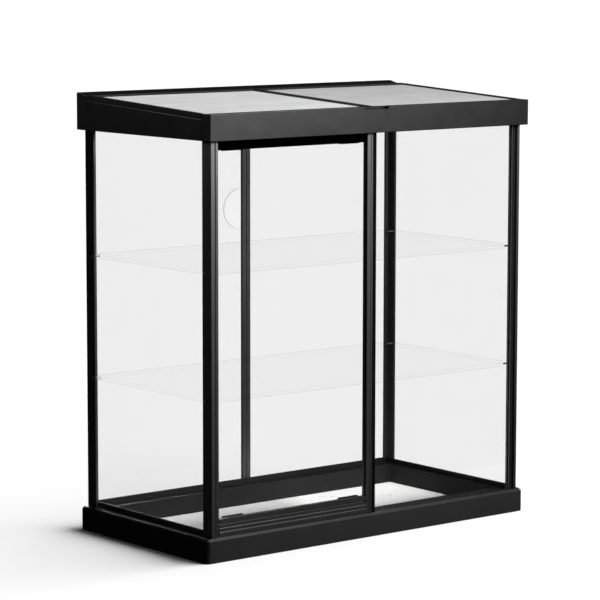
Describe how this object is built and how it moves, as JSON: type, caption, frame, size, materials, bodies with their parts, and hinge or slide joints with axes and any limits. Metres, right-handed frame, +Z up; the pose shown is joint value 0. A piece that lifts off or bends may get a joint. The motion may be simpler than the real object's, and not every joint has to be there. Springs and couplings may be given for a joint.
{
  "type": "tabletop display case",
  "caption": "Clear-walled tabletop display case with a framed front door, clear shelves, a black base and a sloping hood whose translucent lid lifts.",
  "frame": {"origin": "centre of the footprint on the surface the case stands on", "axes": "+Z up; -Y towards the front with the door; +X to the right seen from the front"},
  "size_m": [0.6072, 0.3222, 0.6468],
  "materials": {
    "black_plastic": "satin, fine grain",
    "painted_aluminium": "satin black paint",
    "clear_acrylic": "polished clear acrylic",
    "textured_acrylic": "fine textured translucent acrylic",
    "white_board": "white laminated board",
    "steel": "plain steel",
    "rubber": "black rubber"
  },
  "bodies": {
    "cabinet": {"base_frame": "black_plastic", "floor_panel": "white_board", "foot_pad_front_left": "rubber", "foot_pad_front_right": "rubber", "foot_pad_rear_left": "rubber", "foot_pad_rear_right": "rubber", "post_front_left": "painted_aluminium", "post_front_right": "painted_aluminium", "post_rear_left": "painted_aluminium", "post_rear_right": "painted_aluminium", "front_mullion": "painted_aluminium", "rear_mullion": "painted_aluminium", "top_frame": "black_plastic", "front_fascia": "black_plastic", "hood_side_left": "black_plastic", "hood_side_right": "black_plastic", "rear_rail": "black_plastic", "rear_end_cap_left": "black_plastic", "rear_end_cap_right": "black_plastic", "lid_hinge_ear_left": "black_plastic", "lid_hinge_ear_right": "black_plastic", "pane_left": "clear_acrylic", "pane_right": "clear_acrylic", "pane_rear_left": "clear_acrylic", "pane_rear_right": "clear_acrylic", "pane_front_right": "clear_acrylic", "gasket_at_mullion": "rubber", "gasket_at_post": "rubber", "shelf_lower": "clear_acrylic", "shelf_upper": "clear_acrylic", "shelf_pin_lower_front_left": "steel", "shelf_pin_lower_front_right": "steel", "shelf_pin_lower_rear_left": "steel", "shelf_pin_lower_rear_right": "steel", "shelf_pin_upper_front_left": "steel", "shelf_pin_upper_front_right": "steel", "shelf_pin_upper_rear_left": "steel", "shelf_pin_upper_rear_right": "steel", "door_strike": "steel"},
    "door": {"door_hinge_stile": "painted_aluminium", "door_closing_stile": "painted_aluminium", "door_top_rail": "painted_aluminium", "door_bottom_rail": "painted_aluminium", "door_pane": "clear_acrylic", "door_clip_bottom_left": "clear_acrylic", "door_clip_bottom_right": "clear_acrylic", "door_clip_top_left": "clear_acrylic", "door_clip_top_right": "clear_acrylic", "door_pivot_pin_top": "steel", "door_pivot_pin_bottom": "steel", "door_magnet": "steel"},
    "lid": {"lid_side_left": "black_plastic", "lid_side_right": "black_plastic", "lid_front_bar": "black_plastic", "lid_rear_bar": "black_plastic", "lid_divider": "black_plastic", "lid_panel_left": "textured_acrylic", "lid_panel_right": "textured_acrylic", "lid_hinge_pin_left": "steel", "lid_hinge_pin_right": "steel"}
  },
  "joints": [
    {"name": "door_hinge", "type": "hinge", "parent": "cabinet", "child": "door", "pos_m": [-0.2827, -0.1492, 0.3135], "axis": [0, 0, -1], "range_deg": [0, 90]},
    {"name": "lid_hinge", "type": "hinge", "parent": "cabinet", "child": "lid", "pos_m": [0, 0.1304, 0.6397], "axis": [-1, 0, 0], "range_deg": [0, 95]}
  ]
}
